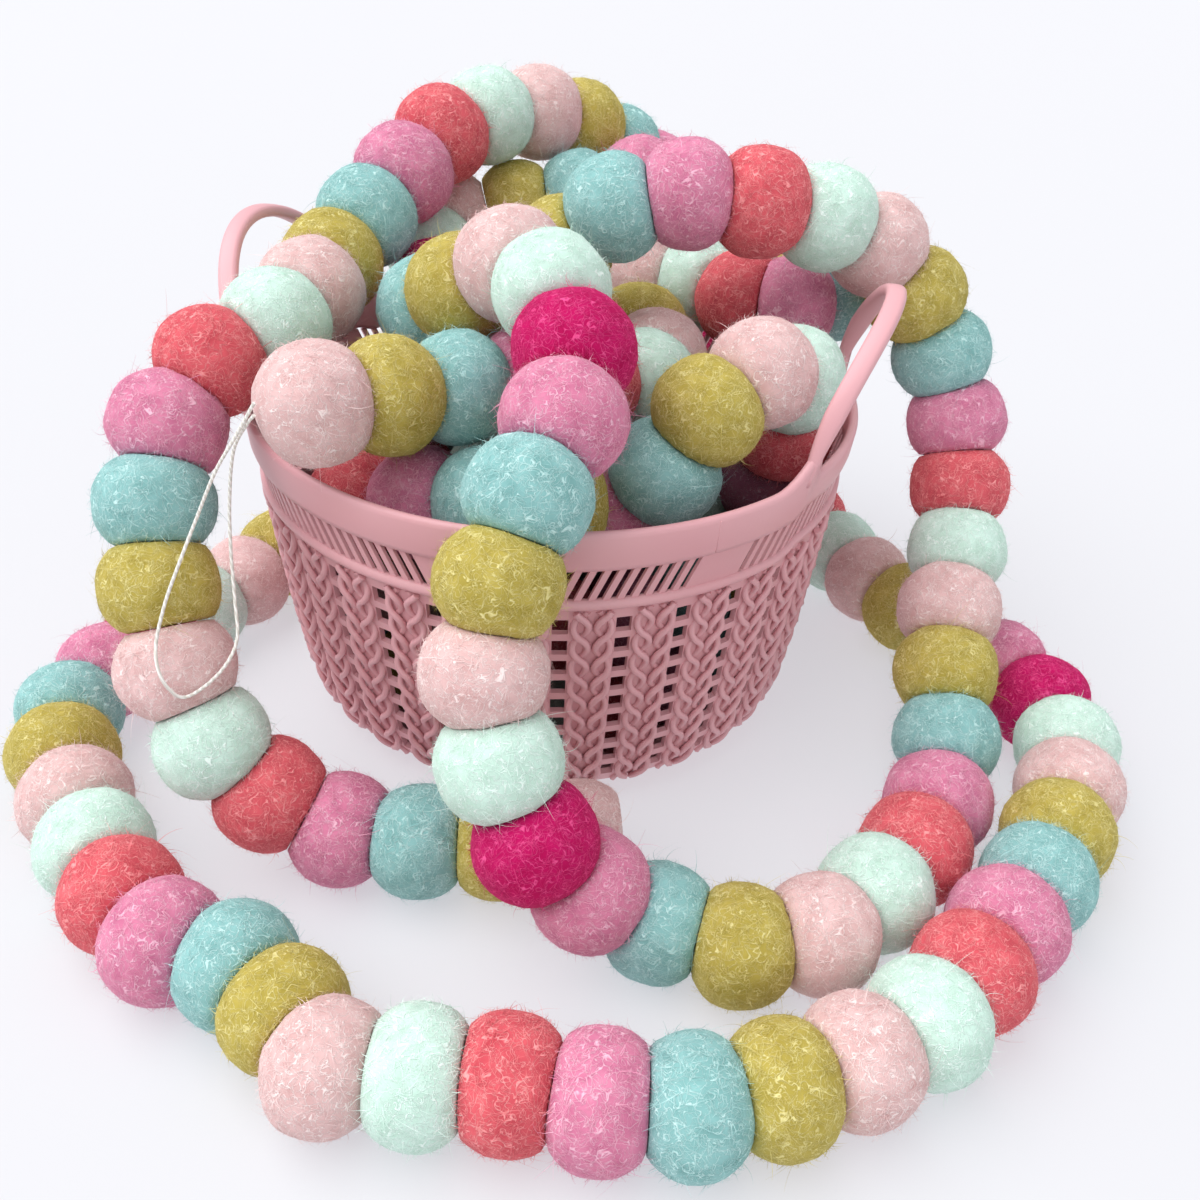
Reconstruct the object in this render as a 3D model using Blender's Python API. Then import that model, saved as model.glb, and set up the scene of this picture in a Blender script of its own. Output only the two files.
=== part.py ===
"""Felt ball garland lying in, over and round a small basket with two handles. Metres, +Z up.
The origin is the middle of the basket's underside, on the surface that all of it rests on."""
import math

import bmesh
import bpy
from mathutils import Vector

for old in list(bpy.data.objects):
    bpy.data.objects.remove(old, do_unlink=True)

MM = 0.001
BALL_R = 14.25          # half a ball's width across the string
NODE_GAP = 0.5          # between two stretches of one run
COIL_GAP = 1.2          # and of one coil
FLAT_Z = 1.2            # what lies lower than this is pressed flat on the surface
SIDES = 8
HANDLE_AZ = -13.5       # degrees round from +X
HANDLE_HALF_W = 35.0
HANDLE_H = 36.0
HANDLE_R = 80.0
HANDLE_LEAN = 0.22
HANDLE_W = 7.0          # strap, along the rim's radius
HANDLE_T = 4.4
RIM_TOP = 92.0
CORD_D = 0.8

# A run of the garland: balls, first colour, and its bends as (x, y, z) in mm. The balls are spaced evenly along it.
COLOURS = ("blush", "mint", "coral", "orchid", "teal", "olive")
RUNS = {
    "ring": (39, "teal", (
        (-83, 42, 14), (-98, 6, 14), (-117.5, -27.5, 14), (-127, -63.5, 14), (-108, -101.5, 14),
        (-80, -135, 14), (-51, -145.5, 14), (-39, -165, 14), (-1, -167.5, 14), (39, -171, 14),
        (83.5, -153.5, 14), (111, -124, 14), (134.5, -89.5, 14), (147, -50.5, 14), (134, -14, 14),
        (109, 17.5, 14), (92.5, 50, 14), (73.5, 78.5, 23.5), (55.5, 93, 45), (57, 105, 58.5))),
    "left": (25, "blush", (
        (60, 120, 77.5), (43.5, 137, 98.5), (19.5, 118.5, 122), (-6, 94.5, 140), (-33.5, 68, 142),
        (-50, 40, 130.5), (-63, 12.5, 116.5), (-66.5, -19, 115), (-87.5, -45.5, 104), (-90, -72, 76),
        (-78, -93.5, 40.5), (-52, -98.5, 16), (-18, -102.5, 14), (13.5, -98.5, 14))),
    "front": (42, "orchid", (
        (22, 77.5, 125), (1.5, 74.5, 120), (-38, 68.5, 111.5), (-36, 28, 103), (-31.5, -7, 114),
        (-6, -29, 134), (8, -63, 122), (-1.5, -93, 102.5), (-8, -111, 73.5), (4, -126, 40.5),
        (29.5, -124, 15.5), (63, -129, 14), (92, -103.5, 14), (108.5, -72.5, 15.5), (113, -36, 35),
        (119.5, -1.5, 57), (114, 18.5, 89.5), (91, 22, 124), (57, 10, 139.5), (18, 6.5, 139.5),
        (-6, 14, 111.5), (-3.5, 6, 69))),
    "end": (8, "olive", ((23.5, 26, 96.5), (27, -7, 96.5), (-13, -35.5, 105.5), (-50.5, -65, 112))),
    "right": (9, "mint", (
        (-15, -25.5, 72.5), (20.5, -44, 76.5), (42.5, -44, 109), (62.5, -21.5, 105), (61, -9, 68.5))),
    "back": (9, "blush", (
        (23.5, 58, 101), (45, 48.5, 103), (61.5, 29, 104.5), (83, 53.5, 104), (42.5, 104.5, 103))),
    "inner": (4, "coral", ((-47, -43, 74.5), (4, -64.5, 89))),
}
# Plain coils where the garland is out of sight in the basket: radius, height, from and to in degrees, balls.
COILS = {
    "coil_low": (50.5, 16.9, 0, 360, 16), "coil_low_in": (21.5, 16.9, 0, 360, 7),
    "coil_mid": (52.5, 45.6, 0, 360, 17), "coil_mid_in": (22.0, 45.6, 0, 360, 7),
    "coil_top": (53.5, 74.3, 28, 200, 9),
}
STRETCH = 5             # balls in one solid, at most

# How a ball swells along the string, as (part of its length, part of its radius).
BALL_PROFILE = ((-0.36, 0.88), (-0.13, 1.0), (0.13, 1.0), (0.36, 0.88))
WAIST = 0.6
COIL_PROFILE = ((-0.25, 0.97), (0.25, 0.97))

# Middle of the basket's wall, as (radius, height), and how far its faces stand off it there.
WALL = ((62.0, 1.3, 1.0), (68.0, 3.4, 1.0), (72.0, 11.0, 1.0), (75.0, 30.0, 1.0), (78.5, 60.0, 1.0),
        (79.4, 68.0, 1.0), (79.9, 70.5, 1.9), (80.2, 73.0, 1.0), (81.2, 76.5, 1.5), (82.3, 91.2, 1.5))

# The string's loop, as (x, y, z) in mm.
LOOP = (
    (-61.5, -74, 116), (-66, -75.5, 108.5), (-71, -77.5, 100.5), (-76, -80.5, 89.5), (-79.5, -87.5, 80.5),
    (-82, -92, 73.5), (-83.5, -97, 66), (-82, -101.5, 62), (-80, -102.5, 58), (-77.5, -101.5, 55),
    (-73.5, -98.5, 56), (-69.5, -94, 59), (-67.5, -89.5, 63.5), (-68.5, -84.5, 70.5), (-69.5, -79.5, 81),
    (-69.5, -75.5, 92), (-67.5, -74, 104), (-63.5, -74.5, 111), (-61.5, -75, 113.5))

TINTS = {
    "blush": (0.80, 0.61, 0.61), "mint": (0.67, 0.82, 0.74), "coral": (0.73, 0.09, 0.11),
    "orchid": (0.68, 0.19, 0.40), "teal": (0.22, 0.48, 0.45), "olive": (0.51, 0.43, 0.06),
    "plastic": (0.69, 0.35, 0.39), "twine": (0.91, 0.88, 0.82),
}


def material(name, tint, rough):
    mat = bpy.data.materials.new(name)
    mat.use_nodes = True
    shade = mat.node_tree.nodes["Principled BSDF"]
    shade.inputs["Base Color"].default_value = (*TINTS[tint], 1.0)
    shade.inputs["Roughness"].default_value = rough
    return mat


def add_body(name, bm, tint, rough=0.95):
    bmesh.ops.recalc_face_normals(bm, faces=bm.faces)
    mesh = bpy.data.meshes.new(name)
    bm.to_mesh(mesh)
    bm.free()
    obj = bpy.data.objects.new(name, mesh)
    bpy.context.scene.collection.objects.link(obj)
    mesh.materials.append(material(name + "_mat", tint, rough))
    return obj


def smooth_line(bends, steps=12):
    """A smooth line through the bends, and how far along it each of its points is."""
    pts = [Vector(b) for b in bends]
    head = 2 * pts[0] - pts[1]
    tail = 2 * pts[-1] - pts[-2]
    pts = [head] + pts + [tail]
    line = []
    for i in range(1, len(pts) - 2):
        a, b, c, d = pts[i - 1:i + 3]
        for k in range(steps):
            t = k / steps
            line.append(0.5 * (2 * b + (c - a) * t + (2 * a - 5 * b + 4 * c - d) * t * t
                               + (3 * b - a - 3 * c + d) * t ** 3))
    line.append(pts[-2])
    along = [0.0]
    for p, q in zip(line, line[1:]):
        along.append(along[-1] + (q - p).length)
    return line, along


def at(line, along, s):
    """The point s along the line. Past either end it goes straight on."""
    if s <= along[0]:
        return line[0] + (line[0] - line[1]).normalized() * (along[0] - s)
    if s >= along[-1]:
        return line[-1] + (line[-1] - line[-2]).normalized() * (s - along[-1])
    low, high = 0, len(along) - 1
    while high - low > 1:
        mid = (low + high) // 2
        if along[mid] <= s:
            low = mid
        else:
            high = mid
    t = (s - along[low]) / (along[high] - along[low])
    return line[low].lerp(line[high], t)


def sweep_balls(name, line, along, pitch, first, last, count, profile, sides, tint):
    """Balls first to last of a run as one solid: rings across the line, wide at a ball and narrow between two."""
    rings = []
    closing = name.startswith("end_") and last == count - 1
    gap = COIL_GAP if name.startswith("coil") else NODE_GAP
    for ball in range(first, last + 1):
        mid = ball * pitch
        start = mid - 0.5 * pitch + (0.5 * gap if ball == first else 0.0)
        if ball == first:
            rings.append((start, WAIST))
        rings += [(mid + part * pitch, size) for part, size in profile]
        end = mid + 0.5 * pitch - (0.5 * gap if ball == last else 0.0)
        rings.append((end, WAIST))
    if closing:
        mid = last * pitch
        rings = [r for r in rings if r[0] < mid]
        rings += [(mid + part * pitch, size) for part, size in ((0.16, 1.0), (0.42, 0.84), (0.6, 0.45))]
    joints = {}
    for j in range(first - 1, last + 1):
        middle = at(line, along, (j + 0.5) * pitch)
        joints[j] = (middle, (at(line, along, (j + 1) * pitch) - at(line, along, j * pitch)).normalized())
    bm = bmesh.new()
    loops = []
    side = None
    for s, size in rings:
        ball = min(max(round(s / pitch), first), last)
        point = at(line, along, s)
        ahead = (at(line, along, s + 2.0) - at(line, along, s - 2.0)).normalized()
        if side is None:
            up = Vector((0, 0, 1)) if abs(ahead.z) < 0.9 else Vector((1, 0, 0))
            side = ahead.cross(up)
        side = (side - ahead * side.dot(ahead)).normalized()
        rise = side.cross(ahead)
        loop = []
        for k in range(sides):
            a = 2 * math.pi * (k + 0.5) / sides - 0.5 * math.pi
            p = point + (side * math.cos(a) + rise * math.sin(a)) * (size * BALL_R)
            for j, way in ((ball - 1, -1), (ball, 1)):
                middle, ahead_j = joints[j]
                over = (p - middle).dot(ahead_j) * way + 0.5 * gap
                if over > 0 and not (closing and j == last):
                    p -= ahead_j * (way * over)
            if p.z < FLAT_Z:
                p.z = 0.0
            loop.append(bm.verts.new(p * MM))
        loops.append(loop)
    for one, two in zip(loops, loops[1:]):
        for k in range(sides):
            n = (k + 1) % sides
            bm.faces.new((one[k], one[n], two[n], two[k]))
    bm.faces.new(loops[0][::-1])
    bm.faces.new(loops[-1])
    return add_body(name, bm, tint)


def stretches(name, line, along, count, profile, sides, first_colour, closed=False):
    pitch = along[-1] / (count if closed else count - 1)
    parts = math.ceil(count / STRETCH)
    cuts = [round(i * count / parts) for i in range(parts + 1)]
    for i in range(parts):
        middle = (cuts[i] + cuts[i + 1] - 1) // 2
        tint = COLOURS[(COLOURS.index(first_colour) + middle) % 6]
        sweep_balls(f"{name}_{i + 1}", line, along, pitch, cuts[i], cuts[i + 1] - 1, count, profile, sides, tint)


# The garland's runs, as they lie.
for name, (count, colour, bends) in RUNS.items():
    line, along = smooth_line(bends)
    stretches(name, line, along, count, BALL_PROFILE, SIDES, colour)

# The coils out of sight in the basket.
for name, (radius, height, a0, a1, count) in COILS.items():
    closed = a1 - a0 == 360
    steps = 96
    line = []
    for k in range(steps + 1):
        a = math.radians(a0 + (a1 - a0) * k / steps)
        line.append(Vector((radius * math.cos(a), radius * math.sin(a), height)))
    along = [0.0]
    for p, q in zip(line, line[1:]):
        along.append(along[-1] + (q - p).length)
    if closed:
        line += line[1:13]
        for p, q in zip(line[steps:], line[steps + 1:]):
            along.append(along[-1] + (q - p).length)
        pitch = along[steps] / count
        shift = 0.5 * pitch
        parts = math.ceil(count / STRETCH)
        cuts = [round(i * count / parts) for i in range(parts + 1)]
        for i in range(parts):
            moved = [s - shift for s in along]
            sweep_balls(f"{name}_{i + 1}", line, moved, pitch, cuts[i], cuts[i + 1] - 1, -1, COIL_PROFILE, 7,
                        COLOURS[(2 * i + 1) % 6])
    else:
        stretches(name, line, along, count, COIL_PROFILE, 7, "mint")

# Basket: base plate, then the wall with its rim band and raised ring, turned round Z.
SEGMENTS = 48
bm = bmesh.new()
plate = bmesh.ops.create_cone(bm, cap_ends=True, segments=SEGMENTS, radius1=60.5 * MM, radius2=60.5 * MM,
                              depth=2.0 * MM)
bmesh.ops.translate(bm, verts=plate["verts"], vec=(0, 0, 1.3 * MM))
for v in bm.verts:
    if v.co.z < 0.5 * MM:
        v.co.z = 0.0
add_body("basket_base", bm, "plastic", 0.45)

outer = []
inner = []
for i, (r, z, stand) in enumerate(WALL):
    before = WALL[max(i - 1, 0)]
    after = WALL[min(i + 1, len(WALL) - 1)]
    dr, dz = after[0] - before[0], after[1] - before[1]
    size = math.hypot(dr, dz)
    nr, nz = dz / size, -dr / size
    outer.append((r + nr * stand, max(z + nz * stand, 0.0)))
    inner.append((r - nr * 1.0, z - nz * 1.0))
outer[0] = (61.0, 0.0)
inner[0] = (61.0, 2.3)
outer[-1] = (83.9, 91.4)
inner[-1] = (81.3, 91.4)
outer.insert(1, (66.5, 0.0))
section = outer + [(83.3, RIM_TOP), (81.9, RIM_TOP)] + inner[::-1]
bm = bmesh.new()
loops = []
for k in range(SEGMENTS):
    a = 2 * math.pi * k / SEGMENTS
    loops.append([bm.verts.new((r * math.cos(a) * MM, r * math.sin(a) * MM, z * MM)) for r, z in section])
for k in range(SEGMENTS):
    one, two = loops[k], loops[(k + 1) % SEGMENTS]
    for j in range(len(section)):
        n = (j + 1) % len(section)
        bm.faces.new((one[j], two[j], two[n], one[n]))
add_body("basket_wall", bm, "plastic", 0.45)

# Handles: a strap bent to an arch over the rim, one at each side, standing on the rim with a hair's gap.
for name, turn in (("handle_right", HANDLE_AZ), ("handle_left", HANDLE_AZ + 180.0)):
    az = math.radians(turn)
    out = Vector((math.cos(az), math.sin(az), 0))
    along_rim = Vector((-math.sin(az), math.cos(az), 0))
    steps = 16
    path = []
    for k in range(steps + 1):
        t = math.pi * k / steps
        width = HANDLE_HALF_W * math.cos(t)
        lift = HANDLE_H * math.sin(t)
        far = math.sqrt(HANDLE_R ** 2 - width ** 2) + 2.3 * (1 - math.sin(t)) + HANDLE_LEAN * lift
        path.append(out * far + along_rim * width + Vector((0, 0, RIM_TOP + 0.3 + lift)))
    bm = bmesh.new()
    loops = []
    for k, point in enumerate(path):
        ahead = (path[min(k + 1, steps)] - path[max(k - 1, 0)]).normalized()
        if k in (0, steps):
            ahead = Vector((0, 0, 1 if k == 0 else -1))
        broad = (out - ahead * out.dot(ahead)).normalized()
        thin = ahead.cross(broad)
        foot = 0.38 if k in (0, steps) else 0.5
        across = HANDLE_W if 0 < k < steps else 2.6
        loop = []
        for sx, sy in ((1, 1), (-1, 1), (-1, -1), (1, -1)):
            p = point + broad * (sx * 0.5 * across) + thin * (sy * foot * HANDLE_T)
            if k in (0, steps):
                p.z = RIM_TOP + 0.3
            loop.append(bm.verts.new(p * MM))
        loops.append(loop)
    for one, two in zip(loops, loops[1:]):
        for k in range(4):
            n = (k + 1) % 4
            bm.faces.new((one[k], one[n], two[n], two[k]))
    bm.faces.new(loops[0][::-1])
    bm.faces.new(loops[-1])
    add_body(name, bm, "plastic", 0.45)

# The string's loop, a thin cord whose two legs both end at the end ball.
line, along = smooth_line(LOOP, 6)
count = 76
curve = bpy.data.curves.new("string_loop", "CURVE")
curve.dimensions = "3D"
curve.bevel_depth = 0.5 * CORD_D * MM
curve.bevel_resolution = 2
curve.use_fill_caps = True
spline = curve.splines.new("POLY")
spline.points.add(count - 1)
for k in range(count):
    p = at(line, along, along[-1] * k / (count - 1)) * MM
    spline.points[k].co = (p.x, p.y, p.z, 1.0)
cord = bpy.data.objects.new("string_loop", curve)
bpy.context.scene.collection.objects.link(cord)
curve.materials.append(material("string_loop_mat", "twine", 0.8))
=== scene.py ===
import math
import random

import bmesh
import bpy
from mathutils import Matrix, Vector, noise


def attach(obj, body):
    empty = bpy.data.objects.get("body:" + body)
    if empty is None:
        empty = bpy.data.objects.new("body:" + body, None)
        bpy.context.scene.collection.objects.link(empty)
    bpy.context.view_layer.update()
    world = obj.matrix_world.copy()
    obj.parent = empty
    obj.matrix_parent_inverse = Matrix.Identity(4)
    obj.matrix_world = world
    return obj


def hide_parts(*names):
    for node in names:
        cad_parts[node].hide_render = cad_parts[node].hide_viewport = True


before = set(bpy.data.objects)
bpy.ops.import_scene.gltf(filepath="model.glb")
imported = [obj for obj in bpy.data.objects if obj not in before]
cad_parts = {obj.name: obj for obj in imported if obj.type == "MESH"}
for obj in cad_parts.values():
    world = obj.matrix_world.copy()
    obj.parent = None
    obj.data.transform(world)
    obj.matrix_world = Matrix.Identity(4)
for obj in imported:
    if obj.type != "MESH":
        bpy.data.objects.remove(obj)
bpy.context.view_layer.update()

scene = bpy.context.scene
MM = 0.001

# Camera: looks down over the near side of the heap, a little tilted, so that all of the
# garland on the table and the top of the heap are in view.
look_down = math.radians(34.2)
tilt = math.radians(2.82)
forward = Vector((0, math.cos(look_down), -math.sin(look_down)))
level = Vector((1, 0, 0))
below = Vector((0, -math.sin(look_down), -math.cos(look_down)))
camera_right = level * math.cos(tilt) - below * math.sin(tilt)
camera_up = -(level * math.sin(tilt) + below * math.cos(tilt))
camera_data = bpy.data.cameras.new("camera")
camera_data.sensor_width = 36.0
camera_data.lens = 37.23
camera_data.clip_start = 0.01
camera = bpy.data.objects.new("camera", camera_data)
turn = Matrix((camera_right, camera_up, -forward)).transposed().to_4x4()
camera.matrix_world = Matrix.Translation((0.0158, -0.3194, 0.2354)) @ turn
scene.collection.objects.link(camera)
scene.camera = camera
scene.view_settings.view_transform = "Standard"


# Hanging loop: thin white cotton twine, two plies twisted together. Both of its legs come out
# of the last ball, so that the garland can be hung over a hook.
def smooth_line(bends, steps=12):
    """A smooth line through the bends, and how far along it each of its points is."""
    pts = [Vector(b) for b in bends]
    pts = [2 * pts[0] - pts[1]] + pts + [2 * pts[-1] - pts[-2]]
    line = []
    for i in range(1, len(pts) - 2):
        a, b, c, d = pts[i - 1:i + 3]
        for k in range(steps):
            t = k / steps
            line.append(0.5 * (2 * b + (c - a) * t + (2 * a - 5 * b + 4 * c - d) * t * t
                               + (3 * b - a - 3 * c + d) * t ** 3))
    line.append(pts[-2])
    along = [0.0]
    for p, q in zip(line, line[1:]):
        along.append(along[-1] + (q - p).length)
    return line, along


def at(line, along, s):
    """The point s along the line. Past either end it goes straight on."""
    if s <= along[0]:
        return line[0] + (line[0] - line[1]).normalized() * (along[0] - s)
    if s >= along[-1]:
        return line[-1] + (line[-1] - line[-2]).normalized() * (s - along[-1])
    low, high = 0, len(along) - 1
    while high - low > 1:
        mid = (low + high) // 2
        if along[mid] <= s:
            low = mid
        else:
            high = mid
    return line[low].lerp(line[high], (s - along[low]) / (along[high] - along[low]))


LOOP = (
    (-61.5, -74, 116), (-66, -75.5, 108.5), (-71, -77.5, 100.5), (-76, -80.5, 89.5), (-79.5, -87.5, 80.5),
    (-82, -92, 73.5), (-83.5, -97, 66), (-82, -101.5, 62), (-80, -102.5, 58), (-77.5, -101.5, 55),
    (-73.5, -98.5, 56), (-69.5, -94, 59), (-67.5, -89.5, 63.5), (-68.5, -84.5, 70.5), (-69.5, -79.5, 81),
    (-69.5, -75.5, 92), (-67.5, -74, 104), (-63.5, -74.5, 111), (-61.5, -75, 113.5))
TWINE_D = 0.8
LOOP_POINTS = 180
loop_line, loop_along = smooth_line(LOOP, 6)
twine = bpy.data.curves.new("hanging_loop", "CURVE")
twine.dimensions = "3D"
twine.bevel_depth = 0.5 * TWINE_D * MM
twine.bevel_resolution = 3
twine.use_fill_caps = True
strand = twine.splines.new("POLY")
strand.points.add(LOOP_POINTS - 1)
for k in range(LOOP_POINTS):
    p = at(loop_line, loop_along, loop_along[-1] * k / (LOOP_POINTS - 1)) * MM
    strand.points[k].co = (*p, 1.0)
twine_mat = bpy.data.materials.new("white_cotton_twine")
twine_mat.use_nodes = True
nodes, links = twine_mat.node_tree.nodes, twine_mat.node_tree.links
shade = nodes["Principled BSDF"]
shade.inputs["Roughness"].default_value = 0.85
shade.inputs["Sheen Weight"].default_value = 0.3
place = nodes.new("ShaderNodeTexCoord")
lay = nodes.new("ShaderNodeMapping")
lay.inputs["Rotation"].default_value = (0.6, 0.5, 0.3)
plies = nodes.new("ShaderNodeTexWave")
plies.inputs["Scale"].default_value = 280.0
plies.inputs["Distortion"].default_value = 1.2
tone = nodes.new("ShaderNodeValToRGB")
tone.color_ramp.elements[0].color = (0.70, 0.67, 0.60, 1)
tone.color_ramp.elements[1].color = (0.95, 0.93, 0.89, 1)
ridges = nodes.new("ShaderNodeBump")
ridges.inputs["Strength"].default_value = 0.8
ridges.inputs["Distance"].default_value = 0.0003
links.new(place.outputs["Object"], lay.inputs["Vector"])
links.new(lay.outputs["Vector"], plies.inputs["Vector"])
links.new(plies.outputs["Fac"], tone.inputs["Fac"])
links.new(tone.outputs["Color"], shade.inputs["Base Color"])
links.new(plies.outputs["Fac"], ridges.inputs["Height"])
links.new(ridges.outputs["Normal"], shade.inputs["Normal"])
twine.materials.append(twine_mat)
hanging_loop = bpy.data.objects.new("hanging_loop", twine)
scene.collection.objects.link(hanging_loop)
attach(hanging_loop, "root")
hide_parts("string_loop")

# Wool: each colour is one dyed felt. Its surface is matted fibre, so it has fine curly lines,
# lighter than the wool under them, and a soft bloom where it is seen edge-on.
WOOLS = {
    "blush": ((0.52, 0.28, 0.27), (0.76, 0.51, 0.50), (0.93, 0.78, 0.76)),
    "mint": ((0.40, 0.58, 0.47), (0.62, 0.83, 0.73), (0.84, 0.97, 0.91)),
    "coral": ((0.42, 0.035, 0.055), (0.71, 0.115, 0.14), (0.92, 0.36, 0.36)),
    "pink": ((0.32, 0.001, 0.05), (0.52, 0.006, 0.11), (0.80, 0.09, 0.28)),
    "orchid": ((0.42, 0.09, 0.19), (0.69, 0.225, 0.36), (0.88, 0.52, 0.64)),
    "teal": ((0.13, 0.30, 0.29), (0.27, 0.52, 0.51), (0.58, 0.82, 0.80)),
    "olive": ((0.26, 0.20, 0.025), (0.49, 0.39, 0.085), (0.77, 0.69, 0.31)),
}
# Painted shade: the wool deep in the basket is drawn with its colours darkened to this part of them.
INSIDE_SHADE = 0.3      # how much of its colour the wool deep in the basket shows
# Each layer of curly threads on the felt: its scale, its place in the noise and its strength.
THREADS = ((300.0, 0.0, 0.8), (380.0, 3.1, 0.74), (470.0, 7.7, 0.66), (580.0, 12.4, 0.56))
THREAD_WIDTH = 0.024


def dyed_wool(colour, loose=False, shaded=False):
    """Dyed wool: as felt, as felt deep in the basket with painted shade (its colours darkened), or as a fibre
    that has worked loose.
    """
    # Painted shade: for the felt deep in the basket every colour is darkened by INSIDE_SHADE.
    light = INSIDE_SHADE if shaded else 1.0
    deep, body, tips = [tuple(c * light for c in tint) for tint in WOOLS[colour]]
    kind = "loose_fibre" if loose else "felt_painted_shade" if shaded else "felt"
    mat = bpy.data.materials.new(f"{colour}_{kind}")
    mat.use_nodes = True
    nodes, links = mat.node_tree.nodes, mat.node_tree.links
    shade = nodes["Principled BSDF"]
    shade.inputs["Roughness"].default_value = 0.95
    shade.inputs["Specular IOR Level"].default_value = 0.15
    shade.inputs["Sheen Weight"].default_value = 0.25
    shade.inputs["Sheen Roughness"].default_value = 0.45
    shade.inputs["Sheen Tint"].default_value = (*tips, 1)
    place = nodes.new("ShaderNodeTexCoord")
    mottle = nodes.new("ShaderNodeTexNoise")
    mottle.inputs["Scale"].default_value = 240.0
    mottle.inputs["Detail"].default_value = 2.0
    links.new(place.outputs["Object"], mottle.inputs["Vector"])
    if loose:
        tone = nodes.new("ShaderNodeValToRGB")
        tone.color_ramp.elements[0].position = 0.3
        tone.color_ramp.elements[0].color = (*body, 1)
        tone.color_ramp.elements[1].position = 0.7
        tone.color_ramp.elements[1].color = (*tips, 1)
        links.new(mottle.outputs["Fac"], tone.inputs["Fac"])
        links.new(tone.outputs["Color"], shade.inputs["Base Color"])
        return mat
    curl = nodes.new("ShaderNodeTexNoise")
    curl.inputs["Scale"].default_value = 420.0
    curl.inputs["Detail"].default_value = 0.0
    links.new(place.outputs["Object"], curl.inputs["Vector"])
    curled = nodes.new("ShaderNodeVectorMath")
    curled.operation = "MULTIPLY_ADD"
    curled.inputs[1].default_value = (0.0034, 0.0034, 0.0034)
    links.new(curl.outputs["Color"], curled.inputs[0])
    links.new(place.outputs["Object"], curled.inputs[2])
    both = nodes.new("ShaderNodeMath")
    both.operation = "MULTIPLY"
    both.inputs[1].default_value = 0.45
    links.new(mottle.outputs["Fac"], both.inputs[0])
    for scale, drift, strength in THREADS:
        moved = nodes.new("ShaderNodeVectorMath")
        moved.inputs[1].default_value = (drift, 0.37 * drift, 0.0)
        links.new(curled.outputs["Vector"], moved.inputs[0])
        waver = nodes.new("ShaderNodeTexNoise")
        waver.inputs["Scale"].default_value = scale
        waver.inputs["Detail"].default_value = 1.0
        links.new(moved.outputs["Vector"], waver.inputs["Vector"])
        off_line = nodes.new("ShaderNodeMath")
        off_line.operation = "SUBTRACT"
        off_line.inputs[1].default_value = 0.5
        links.new(waver.outputs["Fac"], off_line.inputs[0])
        far = nodes.new("ShaderNodeMath")
        far.operation = "ABSOLUTE"
        links.new(off_line.outputs[0], far.inputs[0])
        thread = nodes.new("ShaderNodeMapRange")
        thread.interpolation_type = "SMOOTHSTEP"
        thread.inputs["From Max"].default_value = THREAD_WIDTH
        thread.inputs["To Min"].default_value = strength
        thread.inputs["To Max"].default_value = 0.0
        links.new(far.outputs[0], thread.inputs["Value"])
        more = nodes.new("ShaderNodeMath")
        more.operation = "MAXIMUM"
        links.new(both.outputs[0], more.inputs[0])
        links.new(thread.outputs["Result"], more.inputs[1])
        both = more
    tone = nodes.new("ShaderNodeValToRGB")
    tone.color_ramp.elements[0].position = 0.0
    tone.color_ramp.elements[0].color = (*deep, 1)
    tone.color_ramp.elements[1].position = 0.8
    tone.color_ramp.elements[1].color = (*tips, 1)
    middle = tone.color_ramp.elements.new(0.30)
    middle.color = (*body, 1)
    links.new(both.outputs[0], tone.inputs["Fac"])
    links.new(tone.outputs["Color"], shade.inputs["Base Color"])
    nap = nodes.new("ShaderNodeBump")
    nap.inputs["Strength"].default_value = 0.6
    nap.inputs["Distance"].default_value = 0.0005
    links.new(both.outputs[0], nap.inputs["Height"])
    links.new(nap.outputs["Normal"], shade.inputs["Normal"])
    return mat


felts = {colour: dyed_wool(colour) for colour in WOOLS}
# Darkened copies of each felt: painted shade for the wool deep in the basket.
painted_shade_felts = {colour: dyed_wool(colour, shaded=True) for colour in WOOLS}
fibres = {colour: dyed_wool(colour, loose=True) for colour in WOOLS}

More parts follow.
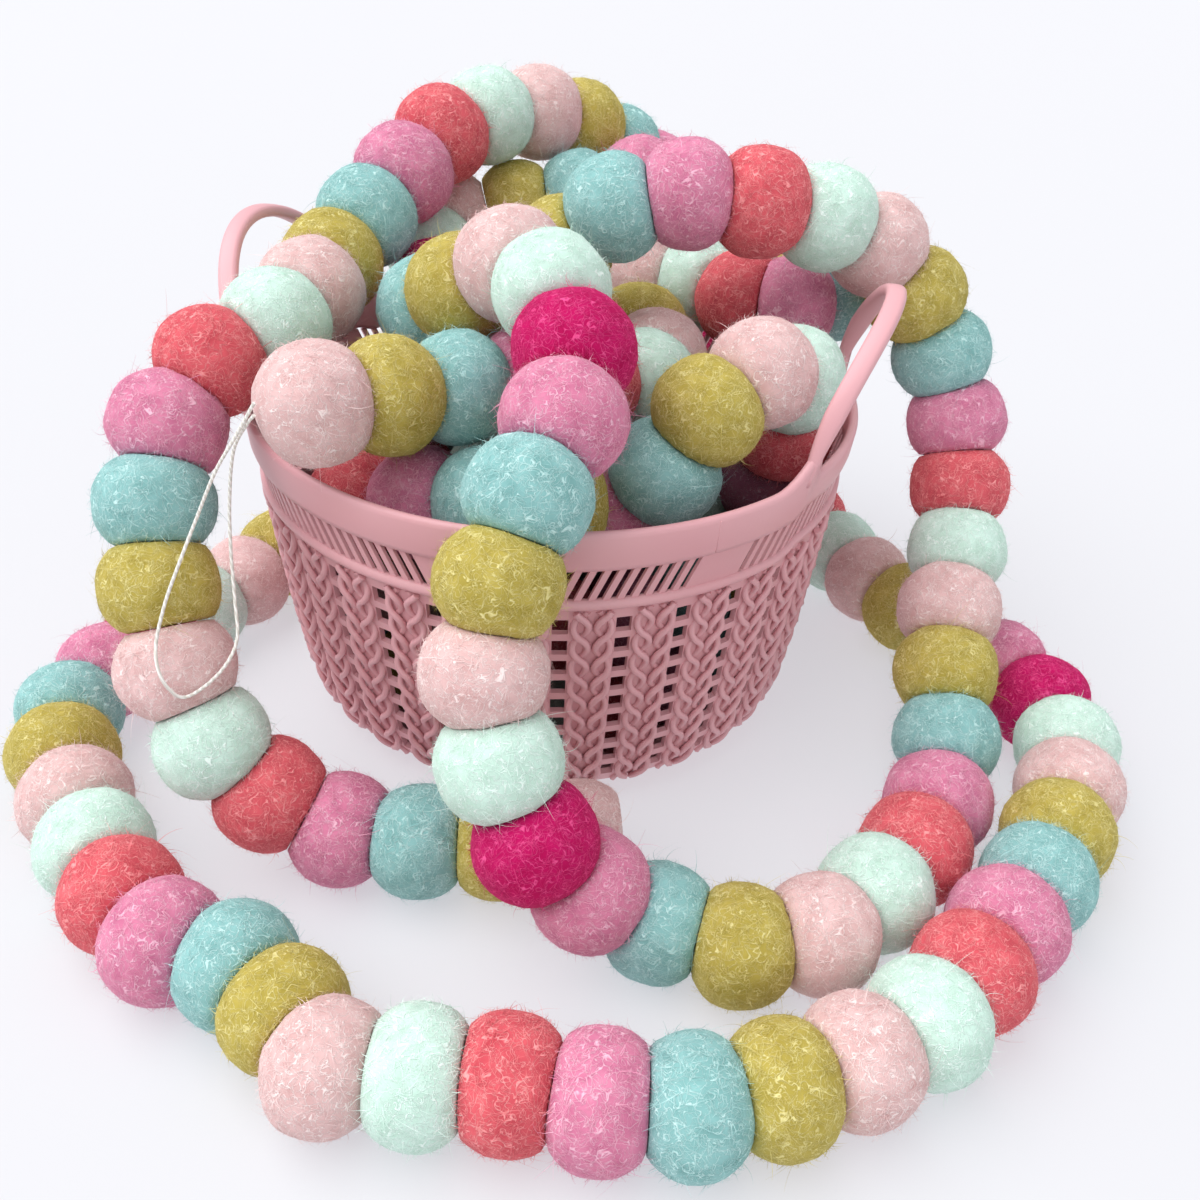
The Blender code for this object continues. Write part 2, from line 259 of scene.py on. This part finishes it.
# Garland: felted wool balls threaded tight on one string, in a repeat of six colours. Each is
# squeezed by its two neighbours, so it is a barrel with flat ends, and flat where it rests.
COLOURS = ("blush", "mint", "coral", "orchid", "teal", "olive")
PINK = {"ring": (4, 28, 38), "front": (5, 11, 17)}
RUNS = {
    "ring": (39, "teal", (
        (-83, 42, 14), (-98, 6, 14), (-117.5, -27.5, 14), (-127, -63.5, 14), (-108, -101.5, 14),
        (-80, -135, 14), (-51, -145.5, 14), (-39, -165, 14), (-1, -167.5, 14), (39, -171, 14),
        (83.5, -153.5, 14), (111, -124, 14), (134.5, -89.5, 14), (147, -50.5, 14), (134, -14, 14),
        (109, 17.5, 14), (92.5, 50, 14), (73.5, 78.5, 23.5), (55.5, 93, 45), (57, 105, 58.5))),
    "left": (25, "blush", (
        (60, 120, 77.5), (43.5, 137, 98.5), (19.5, 118.5, 122), (-6, 94.5, 140), (-33.5, 68, 142),
        (-50, 40, 130.5), (-63, 12.5, 116.5), (-66.5, -19, 115), (-87.5, -45.5, 104), (-90, -72, 76),
        (-78, -93.5, 40.5), (-52, -98.5, 16), (-18, -102.5, 14), (13.5, -98.5, 14))),
    "front": (42, "orchid", (
        (22, 77.5, 125), (1.5, 74.5, 120), (-38, 68.5, 111.5), (-36, 28, 103), (-31.5, -7, 114),
        (-6, -29, 134), (8, -63, 122), (-1.5, -93, 102.5), (-8, -111, 73.5), (4, -126, 40.5),
        (29.5, -124, 15.5), (63, -129, 14), (92, -103.5, 14), (108.5, -72.5, 15.5), (113, -36, 35),
        (119.5, -1.5, 57), (114, 18.5, 89.5), (91, 22, 124), (57, 10, 139.5), (18, 6.5, 139.5),
        (-6, 14, 111.5), (-3.5, 6, 69))),
    "end": (8, "olive", ((23.5, 26, 96.5), (27, -7, 96.5), (-13, -35.5, 105.5), (-50.5, -65, 112))),
    "right": (9, "mint", (
        (-15, -25.5, 72.5), (20.5, -44, 76.5), (42.5, -44, 109), (62.5, -21.5, 105), (61, -9, 68.5))),
    "back": (9, "blush", (
        (23.5, 58, 101), (45, 48.5, 103), (61.5, 29, 104.5), (83, 53.5, 104), (42.5, 104.5, 103))),
    "inner": (4, "coral", ((-47, -43, 74.5), (4, -64.5, 89))),
}
BALL_R = 14.25
BARREL = 2.2            # how full the barrel's shoulders are
FACE_GAP = 0.12         # between two neighbours' faces and the plane midway
FIBRES = 900            # loose fibres on one ball
DEEP_Z, DEEP_R = 74, 70     # a ball lower and nearer the middle than this is deep in the basket
SWELL = 1.32            # a ball's length free, against the room its neighbours leave it


def felt_ball(bm, middle, axis, half_length, joints, radius, rows=20, seed=0.0):
    """One ball at middle, its string along axis, cut off flat at each of its joints."""
    up = Vector((0, 0, 1)) if abs(axis.z) < 0.9 else Vector((1, 0, 0))
    side = axis.cross(up).normalized()
    spin = Matrix((side, axis.cross(side), axis)).transposed()
    made = bmesh.ops.create_uvsphere(bm, u_segments=round(rows * 1.6), v_segments=rows, radius=1.0)["verts"]
    for v in made:
        t = v.co.z
        flat = math.hypot(v.co.x, v.co.y)
        t = math.copysign(abs(t) ** 0.85, t)
        swell = max(0.0, 1.0 - abs(t) ** BARREL) ** (1.0 / BARREL)
        if flat > 1e-6:
            v.co.x *= swell / flat
            v.co.y *= swell / flat
        p = Vector((v.co.x * radius, v.co.y * radius, t * half_length))
        p = middle + spin @ p
        lump = noise.noise(p * 0.11 + Vector((seed, 0, 0))) * 0.55 + noise.noise(p * 0.35) * 0.15
        p += (p - middle).normalized() * lump
        for face, ahead in joints:
            over = (p - face).dot(ahead) + FACE_GAP
            if over > 0:
                p -= ahead * over
        p.z = max(p.z, 0.0)
        v.co = p * MM
    return made


def loose_fibres(bm, middle, axis, made, how_many, chance):
    """Short curled fibres that stand off a ball, each a narrow ribbon, and a few long stray ones."""
    starts = [v for v in made if abs((v.co / MM - middle).dot(axis)) < 8.5 and v.co.z > 1.0 * MM]
    edges, shift = [], {}
    for k in range(how_many):
        root = chance.choice(starts).co
        out = (root - middle * MM).normalized()
        lean = Vector([chance.uniform(-1, 1) for _ in range(3)])
        root = root + (lean - out * lean.dot(out)) * 1.1 * MM - out * 0.12 * MM
        lean = (lean - out * lean.dot(out)).normalized()
        stray = k < how_many // 40
        size = chance.uniform(5.0, 10.0) if stray else chance.uniform(1.8, 4.6)
        steps = 5 if stray else 2
        rise = chance.uniform(0.15, 0.7) if stray else chance.uniform(0.02, 0.6)
        bend = out.cross(lean) * chance.uniform(-1.8, 1.8) - out * chance.uniform(0.2, 1.1) * rise
        width = chance.uniform(0.09, 0.16)
        ahead = (lean + out * rise).normalized()
        across = ahead.cross(out + lean * chance.uniform(-0.5, 0.5)).normalized()
        last = bm.verts.new(root)
        shift[last] = across * width * MM
        for step in range(steps):
            ahead = (ahead + bend * (0.9 / steps)).normalized()
            p = last.co + ahead * (size / steps * MM)
            p.z = max(p.z, 0.1 * MM)
            nxt = bm.verts.new(p)
            shift[nxt] = across * width * MM * (1.0 - 0.75 * (step + 1) / steps)
            edges.append(bm.edges.new((last, nxt)))
            last = nxt
    return edges, shift


def finished(name, bm, mats, smooth=True):
    """The bmesh as an object of the scene, riding on the one body."""
    mesh = bpy.data.meshes.new(name)
    if smooth:
        for f in bm.faces:
            f.smooth = True
    bm.to_mesh(mesh)
    bm.free()
    piece = bpy.data.objects.new(name, mesh)
    scene.collection.objects.link(piece)
    for mat in mats:
        mesh.materials.append(mat)
    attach(piece, "root")
    return piece


fuzz = {colour: bmesh.new() for colour in WOOLS}
fuzz_edges = {colour: [] for colour in WOOLS}
fuzz_shift = {colour: {} for colour in WOOLS}
chance = random.Random(7)
for run, (count, first, bends) in RUNS.items():
    line, along = smooth_line(bends)
    pitch = along[-1] / (count - 1)
    middles = [at(line, along, pitch * k) for k in range(-1, count + 1)]
    stretch = {}
    for ball in range(count):
        before, middle, after = middles[ball:ball + 3]
        joints = []
        for other in (before, after):
            ahead = (other - middle).normalized()
            joints.append((middle.lerp(other, 0.5), ahead))
        if run == "end" and ball == count - 1:
            joints.pop()
        colour = COLOURS[(COLOURS.index(first) + ball) % 6]
        if ball in PINK.get(run, ()):
            colour = "pink"
        # Balls deep in the basket get painted shade: a darkened copy of their felt, and no loose fibres.
        deep = middle.z < DEEP_Z and middle.xy.length < DEEP_R
        if (colour, deep) not in stretch:
            stretch[colour, deep] = bmesh.new()
        axis = (after - before).normalized()
        last_ball = run == "end" and ball == count - 1
        half_length = 0.5 * pitch * (1.4 if last_ball else SWELL)
        radius = BALL_R * (1.02 if last_ball else chance.uniform(0.985, 1.015))
        made = felt_ball(stretch[colour, deep], middle, axis, half_length, joints, radius, seed=ball * 3.7)
        if deep:
            continue
        edges, shift = loose_fibres(fuzz[colour], middle, axis, made, FIBRES, chance)
        fuzz_edges[colour] += edges
        fuzz_shift[colour].update(shift)
    solids = [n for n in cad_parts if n.rsplit("_", 1)[0] == run]
    for (colour, deep), bm in stretch.items():
        # Painted shade: deep balls take the darkened felt.
        wool = painted_shade_felts[colour] if deep else felts[colour]
        balls = finished(f"{run}_{colour}_{'inside' if deep else 'balls'}", bm, [wool])
        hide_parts(*solids)
for colour, bm in fuzz.items():
    near = {tuple(v.co): s for v, s in fuzz_shift[colour].items()}
    drawn = bmesh.ops.extrude_edge_only(bm, edges=fuzz_edges[colour])["geom"]
    new = [v for v in drawn if isinstance(v, bmesh.types.BMVert)]
    for v in new:
        v.co += near.get(tuple(v.co), Vector())
    finished(f"{colour}_fuzz", bm, [fibres[colour]])

# Coils out of sight: the rest of the same garland, wound round and round in the basket. Their wool has
# painted shade, its colours darkened, since no light gets to them past the balls on top, so they only show as
# dark wool through the lattice.
COILS = {
    "coil_low": (50.5, 16.9, 0, 360, 16), "coil_low_in": (21.5, 16.9, 0, 360, 7),
    "coil_mid": (52.5, 45.6, 0, 360, 17), "coil_mid_in": (22.0, 45.6, 0, 360, 7),
    "coil_top": (53.5, 74.3, 28, 200, 9),
}
COIL_BALL_R = 13.9
for coil, (radius, height, a0, a1, count) in COILS.items():
    steps = count if a1 - a0 == 360 else count - 1
    bunch = {}
    for k in range(count):
        spots = []
        for j in (k - 1, k, k + 1):
            a = math.radians(a0 + (a1 - a0) * j / steps)
            spots.append(Vector((radius * math.cos(a), radius * math.sin(a), height)))
        before, middle, after = spots
        joints = [(middle.lerp(o, 0.5), (o - middle).normalized()) for o in (before, after)]
        colour = COLOURS[(k + 1) % 6]
        if colour not in bunch:
            bunch[colour] = bmesh.new()
        half_length = 0.56 * (after - middle).length
        felt_ball(bunch[colour], middle, (after - before).normalized(), half_length, joints, COIL_BALL_R,
                  rows=10, seed=k * 2.1)
    solids = [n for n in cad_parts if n.rsplit("_", 1)[0] == coil]
    for colour, bm in bunch.items():
        # Painted shade: every coil ball takes the darkened copy of its felt.
        balls = finished(f"{coil}_{colour}_balls", bm, [painted_shade_felts[colour]])
        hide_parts(*solids)

# Basket plastic: one soft pink moulded plastic, satin, with the faint orange-peel of a mould.
plastic = bpy.data.materials.new("moulded_pink_plastic")
plastic.use_nodes = True
nodes, links = plastic.node_tree.nodes, plastic.node_tree.links
shade = nodes["Principled BSDF"]
shade.inputs["Roughness"].default_value = 0.42
shade.inputs["Specular IOR Level"].default_value = 0.45
place = nodes.new("ShaderNodeTexCoord")
cloudy = nodes.new("ShaderNodeTexNoise")
cloudy.inputs["Scale"].default_value = 22.0
cloudy.inputs["Detail"].default_value = 2.0
tone = nodes.new("ShaderNodeValToRGB")
tone.color_ramp.elements[0].position = 0.3
tone.color_ramp.elements[0].color = (0.70, 0.36, 0.39, 1)
tone.color_ramp.elements[1].position = 0.7
tone.color_ramp.elements[1].color = (0.75, 0.41, 0.44, 1)
peel = nodes.new("ShaderNodeTexNoise")
peel.inputs["Scale"].default_value = 900.0
skin = nodes.new("ShaderNodeBump")
skin.inputs["Strength"].default_value = 0.12
skin.inputs["Distance"].default_value = 0.0002
links.new(place.outputs["Object"], cloudy.inputs["Vector"])
links.new(cloudy.outputs["Fac"], tone.inputs["Fac"])
links.new(tone.outputs["Color"], shade.inputs["Base Color"])
links.new(place.outputs["Object"], peel.inputs["Vector"])
links.new(peel.outputs["Fac"], skin.inputs["Height"])
links.new(skin.outputs["Normal"], shade.inputs["Normal"])

# Base plate: the basket's flat floor, part of the same moulding. It keeps its plain solid.
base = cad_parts["basket_base"]
for part in base.material_slots:
    part.material = plastic

# Lattice wall: the lower two thirds of the basket, a thin wall pierced by 32 ladders of square
# holes, nine holes to a ladder. It turns in at the foot to meet the base plate.
WALL = ((61.0, 1.2), (64.5, 1.6), (68.0, 3.6), (70.3, 6.8), (72.0, 11.0), (75.0, 30.0), (78.5, 60.0),
        (79.4, 68.0))
HANDLE_AZ = -13.5
LADDERS = 32
LADDER_AZ = -85.2
ROWS, ROW_TOP, ROW_PITCH, HOLE_H = 9, 65.6, 6.6, 4.5


def wall_radius(z):
    for (r0, z0), (r1, z1) in zip(WALL, WALL[1:]):
        if z <= z1:
            return r0 + (r1 - r0) * max(z - z0, 0) / (z1 - z0)
    return WALL[-1][0] + (z - WALL[-1][1]) * 0.17


def lift_at_handles(a):
    """The rim and the bead under it rise a little towards each handle."""
    away = abs((a - HANDLE_AZ + 90) % 180 - 90)
    t = min(max((28.5 - away) / 5.0, 0.0), 1.0)
    return 2.2 * t * t * (3 - 2 * t)


heights = [1.2, 1.7, 3.6]
for row in range(ROWS - 1, -1, -1):
    top = ROW_TOP - ROW_PITCH * row
    heights += [top - HOLE_H, top]
heights.append(69.0)
bm = bmesh.new()
column = [bm.verts.new(Vector((wall_radius(z) + 0.1, 0, z)) * MM) for z in heights]
column.insert(0, bm.verts.new(Vector((61.0, 0, 1.2)) * MM))
profile = [bm.edges.new(pair) for pair in zip(column, column[1:])]
bmesh.ops.spin(bm, geom=column + profile, axis=(0, 0, 1), cent=(0, 0, 0), steps=LADDERS * 4,
               angle=2 * math.pi, use_merge=True)
bmesh.ops.remove_doubles(bm, verts=bm.verts, dist=0.02 * MM)
bmesh.ops.rotate(bm, verts=bm.verts, cent=(0, 0, 0),
                 matrix=Matrix.Rotation(math.radians(LADDER_AZ + 360 / LADDERS / 8), 3, "Z"))
holes = []
for f in bm.faces:
    p = f.calc_center_median() / MM
    a = math.degrees(math.atan2(p.y, p.x))
    ladder = ((a - LADDER_AZ) / (360 / LADDERS) + 0.5) % 1.0 - 0.5
    row = (ROW_TOP - p.z) / ROW_PITCH
    if abs(ladder) < 0.12 and 0 < row < ROWS and row % 1.0 < HOLE_H / ROW_PITCH:
        holes.append(f)
bmesh.ops.delete(bm, geom=holes, context="FACES")
for v in bm.verts:
    if v.co.z > 66.5 * MM:
        a = math.degrees(math.atan2(v.co.y, v.co.x))
        v.co.z += lift_at_handles(a) * MM
bmesh.ops.recalc_face_normals(bm, faces=bm.faces)
lattice = finished("basket_lattice", bm, [plastic], smooth=False)
wall = lattice.modifiers.new("wall", "SOLIDIFY")
wall.thickness = 1.6 * MM
wall.offset = -1.0
soft = lattice.modifiers.new("soft_edges", "BEVEL")
soft.width = 0.35 * MM
soft.segments = 1
soft.limit_method = "ANGLE"
soft.angle_limit = math.radians(40)
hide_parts("basket_wall")

# Knit cables: between two ladders stand two mirrored cables, each of two strands that cross
# once for every hole, so that the wall looks knitted. They are moulded on the wall.
cables = bpy.data.curves.new("basket_cables", "CURVE")
cables.dimensions = "3D"
cables.bevel_depth = 0.92 * MM
cables.bevel_resolution = 1
cables.use_fill_caps = True
CABLE_TOP, CABLE_FOOT, CABLE_POINTS = 68.4, 4.4, 66
for panel in range(LADDERS):
    panel_az = LADDER_AZ + (panel + 0.5) * 360 / LADDERS
    for hand in (-1, 1):
        for ply in (0, 1):
            strand = cables.splines.new("POLY")
            strand.points.add(CABLE_POINTS - 1)
            for k in range(CABLE_POINTS):
                z = CABLE_FOOT + (CABLE_TOP - CABLE_FOOT) * k / (CABLE_POINTS - 1)
                phase = math.pi * ((ROW_TOP - z) / ROW_PITCH + 0.66 + ply)
                r = wall_radius(z) + 0.6 + 0.75 * math.sin(phase)
                narrow = min(1.0, wall_radius(z) / 76.0)
                swing = math.copysign(abs(math.cos(phase)) ** 0.75, math.cos(phase))
                across = hand * (2.8 + 1.85 * swing) * narrow
                a = math.radians(panel_az) + across / r
                strand.points[k].co = (r * math.cos(a) * MM, r * math.sin(a) * MM, z * MM, 1.0)
cables.materials.append(plastic)
knit = bpy.data.objects.new("basket_cables", cables)
scene.collection.objects.link(knit)
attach(knit, "root")

# Bead and slot band: a raised bead closes the lattice, and over it slanting bars leave slots up
# to the rim. The bars lean away from the middle of the front, with plain panels between groups.
BEAD_Z, SLOT_Z0, SLOT_Z1 = 70.6, 71.5, 82.6
GROUPS = ((-168, -107), (-93, -62.5), (-53, -22), (-5, 66), (80, 141))
LEAN = ((-190, -3.0), (-107, -3.0), (-93, 3.0), (-22, 3.0), (-5, -3.0), (66, -3.0), (80, 3.0), (141, 3.0),
        (170, -3.0))
SLOT_STEPS = 294
bm = bmesh.new()
on_wall = Matrix.Translation((80.2 * MM, 0, BEAD_Z * MM)) @ Matrix.Rotation(math.pi / 2, 4, "X")
ring = bmesh.ops.create_circle(bm, segments=10, radius=1.5 * MM, matrix=on_wall)
bmesh.ops.spin(bm, geom=ring["verts"] + list(bm.edges), axis=(0, 0, 1), cent=(0, 0, 0), steps=144,
               angle=2 * math.pi, use_merge=True)
bmesh.ops.remove_doubles(bm, verts=bm.verts, dist=0.02 * MM)
for v in bm.verts:
    a = math.degrees(math.atan2(v.co.y, v.co.x))
    v.co.z += lift_at_handles(a) * MM
bmesh.ops.recalc_face_normals(bm, faces=bm.faces)
bead = finished("basket_bead", bm, [plastic])

bm = bmesh.new()
column = [bm.verts.new((80.5 * MM, 0, SLOT_Z0 * MM)), bm.verts.new((82.2 * MM, 0, SLOT_Z1 * MM))]
profile = [bm.edges.new(column)]
bmesh.ops.spin(bm, geom=column + profile, axis=(0, 0, 1), cent=(0, 0, 0), steps=SLOT_STEPS,
               angle=2 * math.pi, use_merge=True)
bmesh.ops.remove_doubles(bm, verts=bm.verts, dist=0.02 * MM)
slots = []
for f in bm.faces:
    p = f.calc_center_median()
    a = math.degrees(math.atan2(p.y, p.x))
    step = round(a / (360 / SLOT_STEPS) - 0.5)
    if step % 2 and any(low < a < high for low, high in GROUPS):
        slots.append(f)
bmesh.ops.delete(bm, geom=slots, context="FACES")
for v in bm.verts:
    a = math.degrees(math.atan2(v.co.y, v.co.x))
    z = v.co.z / MM
    if z > 75:
        for (a0, s0), (a1, s1) in zip(LEAN, LEAN[1:]):
            if a0 <= a <= a1:
                lean = s0 + (s1 - s0) * (a - a0) / (a1 - a0)
                v.co = Matrix.Rotation(math.radians(lean), 3, "Z") @ v.co
                break
    v.co.z += lift_at_handles(a) * MM
bmesh.ops.recalc_face_normals(bm, faces=bm.faces)
bars = finished("basket_slot_band", bm, [plastic], smooth=False)
wall = bars.modifiers.new("wall", "SOLIDIFY")
wall.thickness = 1.0 * MM
wall.offset = -1.0
soft = bars.modifiers.new("soft_edges", "BEVEL")
soft.width = 0.3 * MM
soft.segments = 2
soft.limit_method = "ANGLE"
soft.angle_limit = math.radians(40)

# Rim: a smooth band with a rounded top edge. It swells up into the foot of each handle's leg,
# and a fine parting line of the mould crosses it near the front.
HANDLE_HALF_W, HANDLE_H, HANDLE_R, HANDLE_LEAN = 35.0, 36.0, 80.0, 0.22
RIM = ((81.9, 81.4), (83.0, 81.6), (83.4, 83.0), (84.0, 90.4), (83.8, 91.4), (83.2, 92.0), (82.3, 92.0),
       (81.7, 91.4), (81.4, 90.4), (80.6, 83.0), (80.7, 81.7))


def leg_fillet(a):
    """How much higher the rim is at azimuth a, where it runs up into a leg, and how it turns with the leg."""
    side = (a - HANDLE_AZ + 90) % 180 - 90
    off = abs(side) - 25.0
    reach = 8.5 if off > 0 else 3.5
    t = max(0.0, 1.0 - max(0.0, abs(off) - 0.3) / reach)
    up = 8.5 * t ** 2.5
    return up, -math.copysign(0.17 * up, side)


bm = bmesh.new()
column = [bm.verts.new((r * MM, 0, z * MM)) for r, z in RIM]
profile = [bm.edges.new(pair) for pair in zip(column, column[1:] + column[:1])]
bmesh.ops.spin(bm, geom=column + profile, axis=(0, 0, 1), cent=(0, 0, 0), steps=288,
               angle=2 * math.pi, use_merge=True)
bmesh.ops.remove_doubles(bm, verts=bm.verts, dist=0.02 * MM)
for v in bm.verts:
    a = math.degrees(math.atan2(v.co.y, v.co.x))
    z = v.co.z / MM
    if z > 90:
        up, turn = leg_fillet(a)
        out = Vector((v.co.x, v.co.y, 0)).normalized()
        v.co += out * (0.15 * up * MM)
        v.co.z += up * MM
        v.co.rotate(Matrix.Rotation(math.radians(turn), 3, "Z"))
    elif z < 84:
        v.co.z += lift_at_handles(a) * MM
bmesh.ops.recalc_face_normals(bm, faces=bm.faces)
rim = finished("basket_rim", bm, [plastic])

PARTING_AZ = -59.3
bm = bmesh.new()
bmesh.ops.create_cube(bm, size=1.0, matrix=Matrix.Diagonal((0.35 * MM, 0.45 * MM, 9.0 * MM, 1.0)))
bmesh.ops.bevel(bm, geom=bm.edges[:], offset=0.1 * MM, segments=1, profile=0.5, affect="EDGES", material=-1)
bmesh.ops.rotate(bm, verts=bm.verts, cent=(0, 0, 0), matrix=Matrix.Rotation(math.radians(4.6), 3, "Y"))
bmesh.ops.translate(bm, verts=bm.verts, vec=(83.62 * MM, 0, 86.5 * MM))
bmesh.ops.rotate(bm, verts=bm.verts, cent=(0, 0, 0), matrix=Matrix.Rotation(math.radians(PARTING_AZ), 3, "Z"))
parting = finished("basket_parting_line", bm, [plastic])

# Handles: two upright straps with rounded edges, one piece with the rim. Each is an arch that
# leans out a little and broadens along the rim at its feet.
for side_name, turn in (("right", HANDLE_AZ), ("left", HANDLE_AZ + 180.0)):
    az = math.radians(turn)
    out = Vector((math.cos(az), math.sin(az), 0))
    along_rim = Vector((-math.sin(az), math.cos(az), 0))
    bm = bmesh.new()
    steps = 60
    path = []
    for k in range(steps + 1):
        t = math.pi * k / steps
        width = HANDLE_HALF_W * math.cos(t)
        lift = HANDLE_H * math.sin(t)
        far = math.sqrt(HANDLE_R ** 2 - width ** 2) + 3.1 * (1 - math.sin(t)) + HANDLE_LEAN * lift
        path.append(out * far + along_rim * width + Vector((0, 0, 91.0 + lift)))
    hoops = []
    for k, point in enumerate(path):
        ahead = (path[min(k + 1, steps)] - path[max(k - 1, 0)]).normalized()
        broad = (out - ahead * out.dot(ahead)).normalized()
        thin = ahead.cross(broad)
        made = bmesh.ops.create_circle(bm, segments=16, radius=1.0)["verts"]
        low = max(0.0, 1.0 - (point.z - 91.0) / 16.0)
        for v in made:
            x = math.copysign(abs(v.co.x) ** 0.55, v.co.x)
            y = math.copysign(abs(v.co.y) ** 0.75, v.co.y)
            half_broad = 2.6 - 1.5 * low
            p = point + broad * (x * half_broad) + thin * (y * (1.7 + 1.3 * low ** 3))
            v.co = p * MM
        hoops.append(made)
    for one, two in zip(hoops, hoops[1:]):
        edges = {e for v in one for e in v.link_edges if e.other_vert(v) in one}
        edges |= {e for v in two for e in v.link_edges if e.other_vert(v) in two}
        bmesh.ops.bridge_loops(bm, edges=list(edges))
    bmesh.ops.contextual_create(bm, geom=hoops[0])
    bmesh.ops.contextual_create(bm, geom=hoops[-1])
    bmesh.ops.recalc_face_normals(bm, faces=bm.faces)
    handle = finished(f"basket_handle_{side_name}", bm, [plastic])
    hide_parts(f"handle_{side_name}")

# Table: a plain white surface under it all, and a pale room's light.
floor_mat = bpy.data.materials.new("white_table")
floor_mat.use_nodes = True
shade = floor_mat.node_tree.nodes["Principled BSDF"]
shade.inputs["Base Color"].default_value = (0.27, 0.275, 0.28, 1)
shade.inputs["Emission Color"].default_value = (0.95, 0.94, 1.0, 1)
shade.inputs["Emission Strength"].default_value = 0.55
shade.inputs["Roughness"].default_value = 0.6
shade.inputs["Specular IOR Level"].default_value = 0.2
bm = bmesh.new()
bmesh.ops.create_grid(bm, x_segments=1, y_segments=1, size=6.0)
bmesh.ops.translate(bm, verts=bm.verts, vec=(0, 0, -0.0003))
mesh = bpy.data.meshes.new("table")
bm.to_mesh(mesh)
bm.free()
mesh.materials.append(floor_mat)
table = bpy.data.objects.new("table", mesh)
scene.collection.objects.link(table)

world = bpy.data.worlds.new("white_room")
world.use_nodes = True
world.node_tree.nodes["Background"].inputs["Color"].default_value = (0.95, 0.97, 1.0, 1)
world.node_tree.nodes["Background"].inputs["Strength"].default_value = 0.62
scene.world = world
LAMPS = (("window", (-0.55, -0.05, 1.0), 70.0, 2.95), ("fill", (0.4, -0.9, 0.8), 90.0, 0.5))
for name, spot, spread, power in LAMPS:
    lamp = bpy.data.lights.new(name, "SUN")
    lamp.angle = math.radians(spread)
    lamp.energy = power
    lamp_obj = bpy.data.objects.new(name, lamp)
    lamp_obj.location = spot
    aim = Vector((0, -0.03, 0.06)) - Vector(spot)
    lamp_obj.rotation_euler = aim.to_track_quat("-Z", "Y").to_euler()
    scene.collection.objects.link(lamp_obj)
